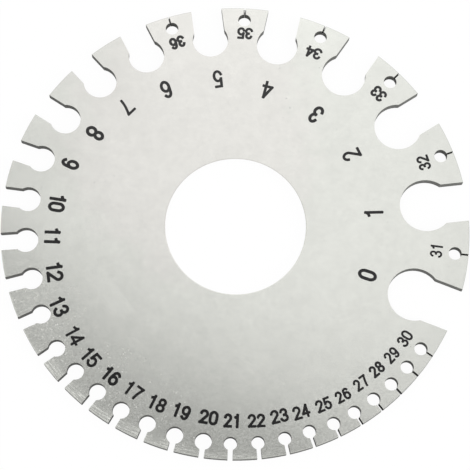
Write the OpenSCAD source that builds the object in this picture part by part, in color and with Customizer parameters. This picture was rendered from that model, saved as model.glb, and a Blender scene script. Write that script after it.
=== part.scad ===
// Sheet and wire gauge: a round steel plate with 37 measuring slots cut in from its rim.
// Each slot runs straight in from the rim and ends in a round relief hole. The heavy and
// middling numbers, 0 to 30, follow each other round the rim; the six finest, 31 to 36,
// are hairline slots in the broad teeth between slots 0 and 6.
// Frame: the plate lies flat with its underside at Z = 0, the centre hole is on the Z axis.

/* [Plate] */
// Diameter of the plate, three and a quarter inches
plate_d = 82.55; // [70:0.05:100]
// Thickness of the plate
plate_t = 1.7; // [1:0.1:3]
// Diameter of the centre hole
centre_hole_d = 24.8; // [12:0.2:36]
// Width of the bevel that breaks the edges of the rim and of the centre hole
edge_break = 0.15; // [0.05:0.05:0.4]

/* [Layout] */
// Bearing of slot 0, anticlockwise from +X
slot_0_bearing = -21.5; // [-180:0.5:180]

/* [Relief holes] */
// Diameter of the relief holes of slots 15 to 20
middle_hole_d = 2.95; // [2.1:0.05:3.4]
// Diameter of the relief holes of slots 21 to 36
fine_hole_d = 2.3; // [1.2:0.1:3]
// Distance from the rim to the centres of the relief holes of slots 19 to 24
middle_hole_depth = 2.7; // [2:0.1:6]
// Distance from the rim to the centres of the relief holes of slots 25 to 36
fine_hole_depth = 2.4; // [1.8:0.1:5]

/* [Hidden] */
$fn = 72;

// The gauge numbers stand for sheet iron of a given weight: a square foot of it that weighs
// one ounce is 1/640 inch thick, so a slot's width is its weight in ounces over 640 inches
inch = 25.4;
slot_w_per_ounce = inch / 640;

// One row for each main slot, 0 to 30: the sheet's weight in ounces per square foot, the
// relief hole's diameter, the distance from the rim to that hole's centre, and the angle
// from this slot to the next; slot 30 has no angle, as what is left of the circle follows it
main_slots = [
    [200, 9.4, 7.7, 28.1],
    [180, 9.4, 7.3, 26],
    [170, 8.4, 6.8, 22.9],
    [160, 7.9, 6.8, 22],
    [150, 7.4, 6.4, 19.9],
    [140, 6.4, 6, 19.4],
    [130, 6.4, 5.6, 15.5],
    [120, 5.9, 5.1, 14.8],
    [110, 5.4, 5.1, 13.4],
    [100, 4.8, 4.7, 12.2],
    [90, 4.4, 4.4, 11.6],
    [80, 4.4, 4.4, 11],
    [70, 3.9, 4.4, 10.2],
    [60, 3.4, 3.9, 10.1],
    [50, 3, 3.3, 7.9],
    [45, middle_hole_d, 3.3, 7.9],
    [40, middle_hole_d, 3.3, 7.8],
    [36, middle_hole_d, 3, 7.6],
    [32, middle_hole_d, 3, 7.6],
    [28, middle_hole_d, middle_hole_depth, 7.4],
    [24, middle_hole_d, middle_hole_depth, 6.9],
    [22, fine_hole_d, middle_hole_depth, 7],
    [20, fine_hole_d, middle_hole_depth, 6.9],
    [18, fine_hole_d, middle_hole_depth, 6.5],
    [16, fine_hole_d, middle_hole_depth, 6.5],
    [14, fine_hole_d, fine_hole_depth, 6],
    [12, fine_hole_d, fine_hole_depth, 6],
    [11, fine_hole_d, fine_hole_depth, 6],
    [10, fine_hole_d, fine_hole_depth, 6],
    [9, fine_hole_d, fine_hole_depth, 6],
    [8, fine_hole_d, fine_hole_depth]
];
// What the four columns hold
OUNCES = 0;
HOLE_D = 1;
HOLE_DEPTH = 2;
PITCH = 3;
// Sheet weights of the hairline slots 31 to 36; each lies in the middle of a broad tooth,
// 31 in the one between slots 0 and 1, 32 between 1 and 2, and so on
hairline_ounces = [7, 6.5, 6, 5.5, 5, 4.5];

plate_r = plate_d / 2;
centre_hole_r = centre_hole_d / 2;
// How far a cutter runs past the faces and the rim
past = 1;

// Width of a slot from the weight of the sheet it gauges
function slot_w(ounces) = ounces * slot_w_per_ounce;

// Bearing of a main slot: the angles of all the rows before it, added up
function bearing(number) =
    number == 0 ? slot_0_bearing : bearing(number - 1) + main_slots[number - 1][PITCH];

// Half the angle that a main slot opens at the rim
function half_mouth(number) = asin(slot_w(main_slots[number][OUNCES]) / 2 / plate_r);

// Bearing of the middle of the tooth that follows a main slot
function tooth_middle(number) =
    (bearing(number) + half_mouth(number) + bearing(number + 1) - half_mouth(number + 1)) / 2;

// The round blank with the edges of its rim and its centre hole broken
module blank() {
    rotate_extrude($fn = 240)
        polygon([
            [centre_hole_r + edge_break, 0],
            [plate_r - edge_break, 0],
            [plate_r, edge_break],
            [plate_r, plate_t - edge_break],
            [plate_r - edge_break, plate_t],
            [centre_hole_r + edge_break, plate_t],
            [centre_hole_r, plate_t - edge_break],
            [centre_hole_r, edge_break]
        ]);
}

// What is cut away for one slot: the relief hole and the straight throat out to the rim
module slot(at, ounces, hole_d, hole_depth) {
    throat_w = slot_w(ounces);
    throat_l = hole_depth + past;
    rotate([0, 0, at])
        translate([plate_r - hole_depth, 0, -past])
            linear_extrude(plate_t + 2 * past)
                union() {
                    circle(d = hole_d);
                    translate([0, -throat_w / 2])
                        square([throat_l, throat_w]);
                }
}

module main_slots_cut() {
    for (number = [0 : len(main_slots) - 1]) {
        row = main_slots[number];
        slot(bearing(number), row[OUNCES], row[HOLE_D], row[HOLE_DEPTH]);
    }
}

module hairline_slots_cut() {
    for (number = [0 : len(hairline_ounces) - 1])
        slot(tooth_middle(number), hairline_ounces[number], fine_hole_d, fine_hole_depth);
}

module gauge_plate() {
    color([0.85, 0.85, 0.82])
        difference() {
            blank();
            main_slots_cut();
            hairline_slots_cut();
        }
}

gauge_plate();
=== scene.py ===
"""Looks of the wire gauge: its satin steel and black numbers, the floor, the light and the camera."""

import math

import bpy
from mathutils import Matrix, Vector
from mathutils.geometry import delaunay_2d_cdt


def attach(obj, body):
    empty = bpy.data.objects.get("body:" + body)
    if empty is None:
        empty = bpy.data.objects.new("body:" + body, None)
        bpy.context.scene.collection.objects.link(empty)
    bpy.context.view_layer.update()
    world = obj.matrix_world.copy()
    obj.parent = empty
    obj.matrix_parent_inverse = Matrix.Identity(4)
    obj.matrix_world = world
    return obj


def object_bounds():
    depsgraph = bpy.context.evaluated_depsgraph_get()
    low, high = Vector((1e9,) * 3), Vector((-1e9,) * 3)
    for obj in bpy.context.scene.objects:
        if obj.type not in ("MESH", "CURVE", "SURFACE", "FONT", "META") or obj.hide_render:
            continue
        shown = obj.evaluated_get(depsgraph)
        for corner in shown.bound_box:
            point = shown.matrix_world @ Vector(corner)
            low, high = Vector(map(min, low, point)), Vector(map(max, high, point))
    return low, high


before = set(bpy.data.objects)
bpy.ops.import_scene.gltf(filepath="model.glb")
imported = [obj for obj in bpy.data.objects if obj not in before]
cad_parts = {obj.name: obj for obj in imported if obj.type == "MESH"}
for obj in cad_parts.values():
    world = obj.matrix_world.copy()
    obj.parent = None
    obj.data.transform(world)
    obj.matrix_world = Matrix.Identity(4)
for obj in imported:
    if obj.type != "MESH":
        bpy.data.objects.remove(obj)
cad_low, cad_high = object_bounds()

MM = 0.001
WHITE = (1.0, 1.0, 1.0, 1.0)
PLATE_TOP = cad_high.z

# Radii in mm of the plate, of its centre hole, and of the place where the finest slots leave
# their relief holes
PLATE_R = 41.275
BORE_R = 12.4
FINE_THROAT_R = 40.05

# The camera looks straight at CAMERA_AIM, from the side of -Y, tilted off the plate's own axis
CAMERA_TILT = math.radians(15.76)
CAMERA_TURN = math.radians(-3.78)
CAMERA_DISTANCE = 318.2 * MM
CAMERA_AIM = Vector((-0.1 * MM, -1.7 * MM, PLATE_TOP))
IMAGE_SIDE_PIXELS = 470
FOCAL_PIXELS = 1811
SENSOR = 36.0

# The floor reaches this far each way, in metres, and lies a hair below the plate's underside
FLOOR_HALF = 1.5
FLOOR_DROP = 0.03 * MM
# The part of the floor's look that is plain white; the rest is white paint lit by the lamps
FLOOR_SHOWN = 0.96

# The grey card that the near left of the plate mirrors is part of a flat ring; lengths in metres,
# angles in degrees
CARD_TONE = 0.16
CARD_MIDDLE = (0.169, 0.591)
CARD_RADII = (0.464, 0.585)
CARD_ANGLES = (150, 350)
CARD_HEIGHT = 1.0

# The light tent: how bright it is straight overhead, how much brighter its sides are than that,
# and how much dimmer its foot is than its sides
TENT_OVERHEAD = 0.915
TENT_SIDES = 0.15
TENT_FOOT = 0.27

# Slot 0's bearing, anticlockwise from +X, and the angles from each slot to the next
SLOT_0_BEARING = -21.5
SLOT_PITCHES = [
    28.1, 26, 22.9, 22, 19.9, 19.4, 15.5, 14.8, 13.4, 12.2, 11.6, 11, 10.2, 10.1, 7.9,
    7.9, 7.8, 7.6, 7.6, 7.4, 6.9, 7, 6.9, 6.5, 6.5, 6, 6, 6, 6, 6,
]
LAST_MAIN_SLOT = len(SLOT_PITCHES)
# Bearings of the hairline slots 31 to 36
HAIRLINE_BEARINGS = [-7.2, 19.7, 44.2, 66.6, 87.6, 107.2]

# One row for each number, 0 to 36: radius of its base line, how far it sits anticlockwise of
# its slot, how far it is turned anticlockwise in degrees, height, width of one digit, the
# step from one digit's middle to the next, and width of the strokes; lengths in mm
NUMBER_LAYOUT = [
    (26.4, 0.3, 3, 3.4, 1.95, 0, 0.59),
    (26.25, -0.6, -5, 3.45, 2, 0, 0.53),
    (26.25, -0.2, -7.5, 3.45, 1.8, 0, 0.51),
    (27.1, -0.25, -5.5, 3.6, 1.9, 0, 0.58),
    (27.75, -0.1, -2, 3.45, 2.05, 0, 0.52),
    (29.35, -0.3, 2.5, 3.4, 1.8, 0, 0.51),
    (30, -0.45, -4, 3.45, 1.85, 0, 0.55),
    (31.1, -0.3, 3.5, 3.2, 1.95, 0, 0.47),
    (32.05, -0.65, 0, 3.6, 2, 0, 0.6),
    (33.05, -0.85, -1, 3.3, 1.8, 0, 0.58),
    (33.2, 0.1, -1.5, 3, 1.85, 1.6, 0.58),
    (33.6, -0.5, -6, 2.85, 1.8, 1.75, 0.57),
    (34.15, -0.2, -7.5, 2.95, 1.95, 1.8, 0.56),
    (35.4, 0.25, 0, 2.9, 1.85, 1.85, 0.54),
    (35.55, -0.05, -6, 2.7, 1.9, 1.7, 0.46),
    (35.8, 0.1, -1, 2.8, 1.8, 1.7, 0.5),
    (35.75, 0.2, -0.5, 2.7, 1.75, 1.65, 0.54),
    (35.6, 0.05, -5, 2.6, 1.55, 1.75, 0.47),
    (35.75, 0.2, -2.5, 2.6, 1.65, 1.7, 0.49),
    (35.65, -0.05, -5, 2.6, 1.6, 1.65, 0.51),
    (35.65, 0.3, -1.5, 2.55, 1.65, 1.65, 0.52),
    (35.9, 0.05, -1.5, 2.5, 1.5, 1.5, 0.51),
    (36, 0.05, -3, 2.4, 1.5, 1.55, 0.47),
    (35.85, -0.05, 0, 2.45, 1.55, 1.6, 0.47),
    (36.15, -0.25, -2.5, 2.4, 1.5, 1.5, 0.45),
    (36.35, -0.2, -3, 2.25, 1.4, 1.45, 0.43),
    (36.45, -0.2, -3.5, 2.15, 1.3, 1.4, 0.42),
    (36.45, -0.05, -2.5, 2.15, 1.25, 1.4, 0.4),
    (36.4, -0.1, -3.5, 2.15, 1.3, 1.35, 0.43),
    (36.6, -0.2, -4, 2.15, 1.25, 1.35, 0.39),
    (36.7, -0.05, 1, 2.2, 1.35, 1.35, 0.4),
    (36.65, 0, -0.5, 2.2, 1.25, 1.25, 0.36),
    (36.65, -0.2, -3, 2.25, 1.35, 1.35, 0.42),
    (36.95, -0.15, -2, 2.35, 1.45, 1.35, 0.48),
    (36.7, 0.1, 4.5, 2.25, 1.6, 1.4, 0.46),
    (37.5, -0.2, -1.5, 2.3, 1.5, 1.4, 0.47),
    (37.2, -0.05, 3, 2.35, 1.45, 1.4, 0.51),
]
# Width of a digit 1 as a part of the other digits' width
NARROW_ONE = 0.62
# Size of the soft corners at a stroke's ends, as a part of half its width
SOFT_CORNER = 0.5
# How far the numbers stand above the face, and how far they reach below it
INK_PROUD = 0.012 * MM
INK_SUNK = 0.02 * MM
# Points of the outlines that lie nearer than this, in mm, are one
SAME_POINT = 1e-5

# Tones and tints of the steel
FACE_TONE = 0.852
FACE_ROUGHNESS = 0.195
COOL_TINT = (0.99, 1.0, 0.943)
WARM_TINT = (1.012, 1.0, 0.955)
WALL_TONE = 0.142
WALL_TINT = (1.0, 1.0, 0.95)

# Worn zones near the rim: the four bearings between which each rises and falls again
SCUFFED = (-178, -160, -125, -70)
RUBBED = (-150, -140, -90, -76)
SPECKLED = (-178, -160, -70, -35)
# The wiped patch: its middle, and where it rises and falls again along and across itself, in mm
WIPED_MIDDLE = (-20.5, -13)
WIPED_ALONG = (-7, -3, 3, 5)
WIPED_ACROSS = (-3.5, -1.5, 0.8, 1.2)
# The warmer part of the face: its middle, and the distances from it over which it ends, in mm
WARM_MIDDLE = (-8, 18)
WARM_REACH = (16, 26)
# Fields of the face that are lighter, or darker where below 0: by how much, the four bearings
# between which each rises and falls again, and the radii in mm over which it comes in
TONE_FIELDS = [
    (-0.08, (-128, -95, -88, -66), 28, 38.5),
    (0.075, (-170, -155, -148, -128), 34, 38.5),
    (-0.08, (108, 128, 155, 180), 18, 40),
    (-0.04, (-50, -25, 25, 55), 33, 39),
    (0.035, (55, 70, 95, 110), 34, 39),
]


def slot_bearing(number):
    """Where a slot lies on the rim, in degrees anticlockwise from +X."""
    if number <= LAST_MAIN_SLOT:
        return SLOT_0_BEARING + sum(SLOT_PITCHES[:number])
    return HAIRLINE_BEARINGS[number - LAST_MAIN_SLOT - 1]


# Node trees


class Wire:
    """An output socket of a node tree. Arithmetic on it adds Math nodes."""

    def __init__(self, tree, socket):
        self.tree = tree
        self.socket = socket

    def __add__(self, other):
        return maths("ADD", self, other)

    def __radd__(self, other):
        return maths("ADD", other, self)

    def __sub__(self, other):
        return maths("SUBTRACT", self, other)

    def __rsub__(self, other):
        return maths("SUBTRACT", other, self)

    def __mul__(self, other):
        return maths("MULTIPLY", self, other)

    def __rmul__(self, other):
        return maths("MULTIPLY", other, self)

    def __truediv__(self, other):
        return maths("DIVIDE", self, other)

    def __rtruediv__(self, other):
        return maths("DIVIDE", other, self)


def add_node(tree, kind, settings, values, output=0):
    """Adds a node, sets it up, then fills its sockets with values or wires; gives one output."""
    node = tree.nodes.new(kind)
    for name, setting in settings.items():
        setattr(node, name, setting)
    for name, value in values.items():
        if isinstance(value, Wire):
            tree.links.new(value.socket, node.inputs[name])
        else:
            node.inputs[name].default_value = value
    return Wire(tree, node.outputs[output])


def tree_of(values):
    """The node tree that the wires among the values belong to."""
    return next(value.tree for value in values if isinstance(value, Wire))


def maths(operation, *values):
    """A Math node on values or wires."""
    return add_node(tree_of(values), "ShaderNodeMath", {"operation": operation},
                    dict(enumerate(values)))


def vector_maths(operation, *values, output=0):
    """A Vector Math node on vectors or wires."""
    return add_node(tree_of(values), "ShaderNodeVectorMath", {"operation": operation},
                    dict(enumerate(values)), output)


def length(vector):
    """How long a vector is."""
    return vector_maths("LENGTH", vector, output="Value")


def smooth_step(value, low, high):
    """0 where value is below low, 1 above high, and a soft rise in between."""
    return add_node(value.tree, "ShaderNodeMapRange", {"interpolation_type": "SMOOTHSTEP"},
                    {"Value": value, "From Min": low, "From Max": high})


def bump_between(value, low, risen, falling, gone):
    """0 below low, 1 from risen to falling, and 0 again beyond gone."""
    return smooth_step(value, low, risen) * (1 - smooth_step(value, falling, gone))


def swing(value, amount):
    """How far a noise is from the middle of its range, times amount."""
    return amount * (value - 0.5)


def either(first, second):
    """The greater of two values."""
    return maths("MAXIMUM", first, second)


def mix_colours(mask, first, second):
    """first where mask is 0 and second where it is 1."""
    return add_node(mask.tree, "ShaderNodeMix", {"data_type": "RGBA"},
                    {"Factor": mask, 6: first, 7: second}, 2)


def join(x, y, z):
    """A vector from three parts."""
    return add_node(x.tree, "ShaderNodeCombineXYZ", {}, {"X": x, "Y": y, "Z": z})


def split(vector):
    """The three parts of a vector."""
    return [add_node(vector.tree, "ShaderNodeSeparateXYZ", {}, {"Vector": vector}, part)
            for part in range(3)]


def grey(value, tint=(1.0, 1.0, 1.0)):
    """A colour of that brightness, times a tint."""
    return vector_maths("MULTIPLY", join(value, value, value), tint)


def noise(place, per_mm, detail=2.0, roughness=0.5):
    """Cloudy noise from 0 to 1, with about per_mm blotches in a millimetre of place."""
    return add_node(place.tree, "ShaderNodeTexNoise", {},
                    {"Vector": place, "Scale": per_mm, "Detail": detail, "Roughness": roughness})


def bumped(height, strength, depth):
    """The way a surface faces where it follows height, up to depth in metres."""
    return add_node(height.tree, "ShaderNodeBump", {},
                    {"Strength": strength, "Distance": depth, "Height": height})


def place_in_mm(tree):
    """Position on the object, in millimetres."""
    spot = add_node(tree, "ShaderNodeTexCoord", {}, {}, "Object")
    return vector_maths("MULTIPLY", spot, (1 / MM, 1 / MM, 1 / MM))


def new_material(name):
    """An empty material and its node tree."""
    material = bpy.data.materials.new(name)
    material.use_nodes = True
    material.node_tree.nodes.clear()
    return material, material.node_tree


def show_surface(tree, surface, kind="ShaderNodeOutputMaterial"):
    """Ends the node tree of a material, or of the world, in that surface."""
    shown = tree.nodes.new(kind)
    tree.links.new(surface.socket, shown.inputs["Surface"])


# Finishes


def along_throats(place, numbers, half_width, past_rim):
    """1 in a strip along each of these fine slots, from its relief hole to past_rim beyond the rim."""
    x, y, z = split(place)
    inside = 0.0
    for number in numbers:
        bearing = math.radians(slot_bearing(number))
        out_x, out_y = math.cos(bearing), math.sin(bearing)
        across = maths("ABSOLUTE", y * out_x - x * out_y)
        along = x * out_x + y * out_y
        strip = (maths("GREATER_THAN", along, FINE_THROAT_R)
                 * maths("LESS_THAN", along, PLATE_R + past_rim))
        inside = inside + (1 - smooth_step(across, 0.7 * half_width, half_width)) * strip
    return inside


def satin_steel():
    """Satin stainless steel: fine grain on the faces, dark punched walls, a bright reamed bore."""
    material, tree = new_material("satin_steel")
    place = place_in_mm(tree)
    x, y, z = split(place)
    radius = length(join(x, y, 0.0))
    bearing = maths("ARCTAN2", y, x) / math.radians(1)

    # Which part of the plate it is, by the way it faces and by how far out and how high it lies
    facing = add_node(tree, "ShaderNodeTexCoord", {}, {}, "Normal")
    upright = maths("ABSOLUTE", split(facing)[2])
    wall = 1 - smooth_step(upright, 0.1, 0.35)
    bevel = (1 - smooth_step(upright, 0.85, 0.95)) * (1 - wall)
    past_bore = smooth_step(radius, BORE_R + 0.2, BORE_R + 0.4)
    bore = wall * (1 - past_bore)
    cut_wall = wall * past_bore
    numbered_face = smooth_step(z, 1.2, 1.5)

    # Grain of several sizes, from dust to broad clouds, with a faint brushing along X
    grain = noise(place, 7, 3, 0.6)
    blotches = noise(place, 1.3, 3, 0.6)
    mottle = noise(place, 0.4, 3, 0.6)
    cloud = noise(place, 0.08, 2, 0.5)
    brushed = noise(vector_maths("MULTIPLY", place, (0.35, 9, 1)), 1.0, 3, 0.6)
    pits = smooth_step(noise(place, 1.7, 2, 0.5), 0.735, 0.77)

    # Towards the near left of the rim the steel is scuffed in specks and rubbed in streaks that
    # follow the rim, in a band that narrows towards the right, and its tone is speckled
    scuffs = (bump_between(bearing, *SCUFFED) * smooth_step(radius, 20, 36) * numbered_face
              * smooth_step(noise(place, 2.2, 2, 0.6), 0.62, 0.72))
    around = vector_maths("MULTIPLY", join(radius, 0.25 * bearing, z), (4, 1, 0))
    streaks = smooth_step(noise(around, 1.0, 3, 0.7), 0.46, 0.6)
    narrowing = 0.7 * smooth_step(bearing, -112, -92)
    rubbed = (smooth_step(radius - narrowing, 39.1, 40.6) * (1 - smooth_step(radius, 41.05, 41.15))
              * bump_between(bearing, *RUBBED) * numbered_face)
    speckle = (bump_between(bearing, *SPECKLED) * smooth_step(radius, 30, 37) * numbered_face
               * swing(noise(place, 3.2, 2, 0.7), 0.5))

    # A faint wiped patch that lies askew
    patch_x = x - WIPED_MIDDLE[0]
    patch_y = y - WIPED_MIDDLE[1]
    along = 0.6 * patch_x - 0.8 * patch_y
    across = 0.8 * patch_x + 0.6 * patch_y
    wiped = bump_between(along, *WIPED_ALONG) * bump_between(across, *WIPED_ACROSS) * numbered_face

    # Broad faint fields of a lighter or a darker tone, and painted shade on the face in grey strips along
    # the hairline slots
    fields = 1.0
    for lighter, bearings, start, full in TONE_FIELDS:
        field = bump_between(bearing, *bearings) * smooth_step(radius, start, full)
        fields = fields + lighter * field
    painted_slit_shade = (along_throats(place, range(31, 35), 0.2, -0.1)
              + along_throats(place, [35], 0.26, -0.4) + along_throats(place, [36], 0.2, -0.4))

    clouded = (swing(grain, 0.05) + swing(blotches, 0.07) + swing(mottle, 0.12)
               + swing(cloud, 0.06) + swing(brushed, 0.03))
    # Painted shade: the slanted bevel faces out towards the rim are darkened by a fifth
    painted_shade_on_bevel = bevel * smooth_step(radius, 20, 40)
    darker = (1 - 0.22 * pits) * (1 - 0.2 * painted_shade_on_bevel) * (1 - 0.8 * painted_slit_shade)
    face_tone = (FACE_TONE + clouded + 0.035 * wiped + speckle) * fields * darker

    # Part of the face is a little warmer, with a ragged edge
    from_warm = length(join(x - WARM_MIDDLE[0], 0.8 * (y - WARM_MIDDLE[1]), 0.0))
    warm = 1 - smooth_step(from_warm + swing(noise(place, 0.22, 3, 0.7), 16), *WARM_REACH)
    face_colour = mix_colours(warm, grey(face_tone, COOL_TINT), grey(face_tone, WARM_TINT))
    satin = add_node(
        tree, "ShaderNodeBsdfPrincipled", {},
        {
            "Base Color": mix_colours(bore, face_colour, WHITE),
            "Metallic": 1.0,
            "Roughness": (FACE_ROUGHNESS + swing(grain, 0.06) - 0.1 * bore + 0.14 * scuffs
                          + rubbed * (0.02 + 0.12 * streaks)),
            "Normal": bumped(grain + 0.8 * brushed + 0.5 * pits + 5 * blotches,
                             strength=0.2, depth=0.003 * MM),
        },
    )

    # The punched walls are matt and dark, with striations down them, and darkest in the finest slots,
    # where painted shade is added
    striations = noise(vector_maths("MULTIPLY", place, (5, 5, 0.4)), 1.0, 2, 0.6)
    # Painted light: the walls are painted lighter towards the right and the far side, as if lit from there
    wall_tone_with_painted_light = WALL_TONE + 0.04 * smooth_step(0.8 * x + 0.6 * y, 5, 35) + swing(striations, 0.1)
    painted_shade_in_fine_slots = along_throats(place, [*range(26, 30), *range(31, 37)], 0.4, 0.1)
    punched = add_node(
        tree, "ShaderNodeBsdfPrincipled", {},
        {
            "Base Color": grey(wall_tone_with_painted_light * (1 - 0.85 * painted_shade_in_fine_slots), WALL_TINT),
            "Metallic": 0.3,
            "Roughness": 0.8,
            "Specular IOR Level": 0.1,
            "Normal": bumped(striations, strength=0.4, depth=0.01 * MM),
        },
    )
    show_surface(tree, add_node(tree, "ShaderNodeMixShader", {}, {0: cut_wall, 1: satin, 2: punched}))
    return material


def black_fill():
    """Black fill of the numbers, a little worn, with a painted sheen that lightens it towards the far
    side.
    """
    material, tree = new_material("black_fill")
    place = place_in_mm(tree)
    wear = noise(place, 3.5, 3, 0.6)
    # Painted sheen: the fill is lightened towards the far side
    painted_sheen = 0.014 * smooth_step(split(place)[1], 0, 36)
    finish = add_node(
        tree, "ShaderNodeBsdfPrincipled", {},
        {
            "Base Color": grey(0.001 + 0.004 * smooth_step(wear, 0.45, 0.75) + painted_sheen),
            "Roughness": 0.2 + swing(wear, 0.15),
            "Specular IOR Level": 0.5,
            "Normal": bumped(wear, strength=0.3, depth=0.01 * MM),
        },
    )
    show_surface(tree, finish)
    return material


def white_floor():
    """Plain white floor that shows white to the camera and to reflections, with the part's shadow."""
    material, tree = new_material("white_floor")
    camera_ray, glossy_ray, transmission_ray = [
        add_node(tree, "ShaderNodeLightPath", {}, {}, f"Is {kind} Ray")
        for kind in ("Camera", "Glossy", "Transmission")
    ]
    direct = either(either(camera_ray, glossy_ray), transmission_ray)

    # The floor is shaded where little sky reaches it, and down the hairline slots
    open_sky = add_node(tree, "ShaderNodeAmbientOcclusion", {"samples": 40}, {"Distance": 4 * MM}, "AO")
    place = place_in_mm(tree)
    under_hairlines = (along_throats(place, range(31, 33), 0.25, 0.1)
                       + along_throats(place, range(33, 37), 0.25, 0.3))
    lit = smooth_step(open_sky, 0.08, 0.135) * (1 - under_hairlines)

    matt = add_node(tree, "ShaderNodeBsdfDiffuse", {}, {"Color": WHITE})
    white = add_node(tree, "ShaderNodeEmission", {}, {"Color": WHITE, "Strength": 1.0})
    show_surface(tree, add_node(tree, "ShaderNodeMixShader", {},
                                {0: FLOOR_SHOWN * direct * lit, 1: matt, 2: white}))
    return material


# Numbers


def arc(centre_x, centre_y, radius_x, radius_y, start, end, steps=14):
    """Points along part of an ellipse, angles in degrees from its right-hand side."""
    angles = [math.radians(start + (end - start) * step / steps) for step in range(steps + 1)]
    return [(centre_x + radius_x * math.cos(angle), centre_y + radius_y * math.sin(angle))
            for angle in angles]


def bend(start, pull, end, steps=8):
    """Points along a plain curve from start to end that leans towards pull."""
    points = []
    for step in range(steps + 1):
        done = step / steps
        ahead = 1 - done
        points.append(tuple(ahead ** 2 * a + 2 * done * ahead * b + done * done * c
                            for a, b, c in zip(start, pull, end)))
    return points


def ring(centre_x, centre_y, radius_x, radius_y):
    """A closed loop as its left and its right half."""
    return [arc(centre_x, centre_y, radius_x, radius_y, 90, 270),
            arc(centre_x, centre_y, radius_x, radius_y, -90, 90)]


# The middle lines of each digit's strokes, in a box one wide and one high. A 9 is a 6 upside down
SIX = [arc(0.52, 0.72, 0.44, 0.28, 38, 168) + [(0.02, 0.5), (0.0, 0.31)]] + ring(0.5, 0.31, 0.5, 0.31)
DIGITS = {
    "0": [arc(0.5, 0.68, 0.5, 0.32, 90, 180) + arc(0.5, 0.32, 0.5, 0.32, 180, 270),
          arc(0.5, 0.32, 0.5, 0.32, -90, 0) + arc(0.5, 0.68, 0.5, 0.32, 0, 90)],
    "1": [[(0.0, 0.8), (0.35, 0.83), (0.62, 0.9), (0.8, 1.0)], [(0.8, 1.0), (0.8, 0.0)]],
    "2": [arc(0.5, 0.73, 0.48, 0.27, 168, -30) + [(0.0, 0.0)], [(0.0, 0.0), (1.0, 0.0)]],
    "3": [arc(0.47, 0.75, 0.43, 0.25, 165, -85), arc(0.47, 0.26, 0.5, 0.26, 85, -165)],
    "4": [[(0.72, 0.0), (0.72, 1.0)], [(0.72, 1.0), (0.0, 0.27)], [(0.0, 0.27), (1.0, 0.27)]],
    "5": [[(0.9, 1.0), (0.14, 1.0)], [(0.14, 1.0), (0.06, 0.5)], arc(0.47, 0.32, 0.5, 0.32, 140, -160)],
    "6": SIX,
    "7": [[(0.0, 1.0), (1.0, 1.0)], bend((1.0, 1.0), (0.5, 0.45), (0.42, 0.0))],
    "8": ring(0.5, 0.76, 0.42, 0.24) + ring(0.5, 0.26, 0.5, 0.26),
    "9": [[(1 - px, 1 - py) for px, py in stroke] for stroke in SIX],
}


def stroke_outline(points, width):
    """The outline of a stroke of that width along the points, its ends blunt with soft corners."""
    half = width / 2
    soft = SOFT_CORNER * half
    middle = [Vector(point) for point in points]
    ahead = [(b - a).normalized() for a, b in zip(middle, middle[1:])]
    along = [ahead[0]] + [(a + b).normalized() for a, b in zip(ahead, ahead[1:])] + [ahead[-1]]
    left = [point + half * Vector((-heading.y, heading.x)) for point, heading in zip(middle, along)]
    right = [point - half * Vector((-heading.y, heading.x)) for point, heading in zip(middle, along)]

    def blunt_end(tip, out, side):
        """From the side the outline arrives on, round the end, to the other side."""
        corner = []
        for hand in (1, -1):
            angles = [math.radians(a) for a in (0, 30, 60, 90)]
            pivot = tip + out * (half - soft) + side * hand * (half - soft)
            quarter = [pivot + side * hand * soft * math.cos(a) + out * soft * math.sin(a) for a in angles]
            corner += quarter if hand == 1 else quarter[::-1]
        return corner

    end_side = Vector((ahead[-1].y, -ahead[-1].x))
    start_side = Vector((-ahead[0].y, ahead[0].x))
    return (right[:-1] + blunt_end(middle[-1], ahead[-1], end_side)
            + left[-2:0:-1] + blunt_end(middle[0], -ahead[0], start_side))


def number_outlines(text, height, digit_width, step, width):
    """Outlines of all the strokes of a number, its base line centred on the origin, in mm."""
    outlines = []
    widths = [digit_width * (NARROW_ONE if digit == "1" else 1) for digit in text]
    whole = widths[0] / 2 + step * (len(text) - 1) + widths[-1] / 2
    for k, (digit, wide) in enumerate(zip(text, widths)):
        left = widths[0] / 2 - whole / 2 + k * step - wide / 2
        for stroke in DIGITS[digit]:
            middle = [(left + width / 2 + px * (wide - width), width / 2 + py * (height - width))
                      for px, py in stroke]
            outlines.append(stroke_outline(middle, width))
    return outlines


def flat_union(outlines):
    """Points and triangles of the area that the outlines cover together."""
    points, loops = [], []
    for outline in outlines:
        loops.append(list(range(len(points), len(points) + len(outline))))
        points += [Vector(point) for point in outline]
    found = delaunay_2d_cdt(points, [], loops, 0, SAME_POINT)
    corners, triangles, outlines_over = found[0], found[2], found[5]
    return corners, [face for face, covered in zip(triangles, outlines_over) if covered]


def slab(points, faces, low, high, place):
    """Vertices and faces of a closed slab on a flat area: top, underside and the edge between."""
    verts = [place @ Vector((point.x * MM, point.y * MM, height))
             for height in (high, low) for point in points]
    count = len(points)
    top = [tuple(face) for face in faces]
    under = [tuple(count + corner for corner in reversed(face)) for face in faces]
    sides = {(a, b) for face in faces for a, b in zip(face, face[1:] + face[:1])}
    edge = [(b, a, count + a, count + b) for a, b in sides if (b, a) not in sides]
    return verts, top + under + sorted(edge)


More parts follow.
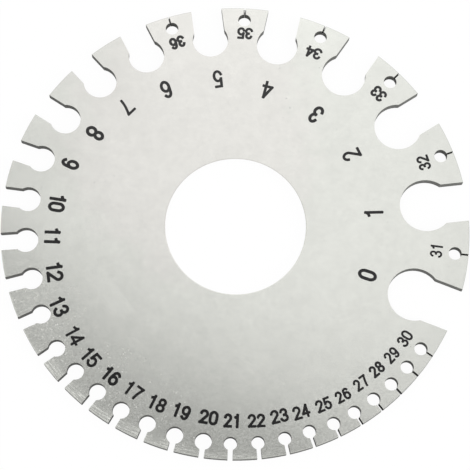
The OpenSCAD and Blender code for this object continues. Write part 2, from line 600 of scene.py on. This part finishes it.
def numbers(finish):
    """All the numbers as one thin fill, each read with its foot towards its slot."""
    verts, faces = [], []
    for number, (base_r, aside, turn, height, digit_width, step, width) in enumerate(NUMBER_LAYOUT):
        points, flat = flat_union(number_outlines(str(number), height, digit_width, step, width))
        place = (Matrix.Rotation(math.radians(slot_bearing(number) + 90), 4, "Z")
                 @ Matrix.Translation((aside * MM, -base_r * MM, 0))
                 @ Matrix.Rotation(math.radians(turn), 4, "Z"))
        new_verts, new_faces = slab(points, flat, PLATE_TOP - INK_SUNK, PLATE_TOP + INK_PROUD, place)
        faces += [tuple(len(verts) + corner for corner in face) for face in new_faces]
        verts += new_verts
    mesh = bpy.data.meshes.new("numbers")
    mesh.from_pydata(verts, [], faces)
    mesh.validate()
    mesh.materials.append(finish)
    piece = bpy.data.objects.new("numbers", mesh)
    bpy.context.scene.collection.objects.link(piece)
    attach(piece, "root")


# Plate


def dress_plate(finish):
    """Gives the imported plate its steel."""
    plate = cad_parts["gauge_plate"]
    plate.data.materials.clear()
    plate.data.materials.append(finish)


# Floor, light and camera


def floor(finish):
    """A flat floor, wide enough that its edge is far from the plate."""
    corners = [(-1, -1), (1, -1), (1, 1), (-1, 1)]
    mesh = bpy.data.meshes.new("floor")
    mesh.from_pydata([(FLOOR_HALF * x, FLOOR_HALF * y, 0) for x, y in corners], [], [(0, 1, 2, 3)])
    mesh.materials.append(finish)
    piece = bpy.data.objects.new("floor", mesh)
    piece.location.z = -FLOOR_DROP
    bpy.context.scene.collection.objects.link(piece)


def studio_world():
    """A white light tent, a little less bright straight overhead and dimmer towards the horizon."""
    world = bpy.data.worlds.new("light_tent")
    world.use_nodes = True
    tree = world.node_tree
    tree.nodes.clear()
    x, y, z = split(add_node(tree, "ShaderNodeTexCoord", {}, {}, "Generated"))
    # How far a direction leans from straight up, where 1 is 45 degrees
    lean = maths("SQRT", x * x + y * y) / either(z, 0.02)
    brightness = (TENT_OVERHEAD + TENT_SIDES * smooth_step(lean, 0.36, 0.5)
                  - TENT_FOOT * smooth_step(lean, 0.6, 1.5))
    sky = add_node(tree, "ShaderNodeBackground", {}, {"Color": WHITE, "Strength": brightness})
    show_surface(tree, sky, "ShaderNodeOutputWorld")
    bpy.context.scene.world = world


def grey_card():
    """A grey card, part of a flat ring, hung where the near left of the plate mirrors it."""
    material, tree = new_material("grey_card")
    show_surface(tree, add_node(tree, "ShaderNodeEmission", {}, {"Color": WHITE, "Strength": CARD_TONE}))
    inside, outside = [arc(*CARD_MIDDLE, size, size, *CARD_ANGLES, 48) for size in CARD_RADII]
    count = len(inside)
    mesh = bpy.data.meshes.new("grey_card")
    mesh.from_pydata([(x, y, CARD_HEIGHT) for x, y in inside + outside], [],
                     [(k, k + 1, count + k + 1, count + k) for k in range(count - 1)])
    mesh.materials.append(material)
    card = bpy.data.objects.new("grey_card", mesh)
    card.visible_camera = card.visible_diffuse = card.visible_shadow = False
    bpy.context.scene.collection.objects.link(card)


def soft_lamp(name, place, side, watts):
    """A square lamp that points at the plate and isn't mirrored in it."""
    data = bpy.data.lights.new(name, "AREA")
    data.shape = "SQUARE"
    data.size = side
    data.energy = watts
    lamp = bpy.data.objects.new(name, data)
    lamp.location = place
    lamp.rotation_mode = "QUATERNION"
    lamp.rotation_quaternion = Vector(place).to_track_quat("Z", "Y")
    lamp.visible_camera = lamp.visible_glossy = False
    bpy.context.scene.collection.objects.link(lamp)


def camera():
    """The photograph's view: from above and a little in front, the plate filling the frame."""
    data = bpy.data.cameras.new("camera")
    data.sensor_width = SENSOR
    data.lens = FOCAL_PIXELS * SENSOR / IMAGE_SIDE_PIXELS
    data.clip_start = 0.01
    data.clip_end = 20
    eye = bpy.data.objects.new("camera", data)
    forward = Vector((-math.sin(CAMERA_TURN) * math.sin(CAMERA_TILT),
                      math.cos(CAMERA_TURN) * math.sin(CAMERA_TILT), -math.cos(CAMERA_TILT)))
    right = forward.cross(Vector((0, 1, 0))).normalized()
    up = right.cross(forward)
    turn = Matrix((right, up, -forward)).transposed().to_4x4()
    eye.matrix_world = Matrix.Translation(CAMERA_AIM - forward * CAMERA_DISTANCE) @ turn
    bpy.context.scene.collection.objects.link(eye)
    bpy.context.scene.camera = eye


bpy.context.scene.view_settings.view_transform = "Standard"
studio_world()
grey_card()
soft_lamp("side_lamp", place=(1.1, -0.5, 0.7), side=0.8, watts=6.0)
camera()
floor(white_floor())
dress_plate(satin_steel())
numbers(black_fill())
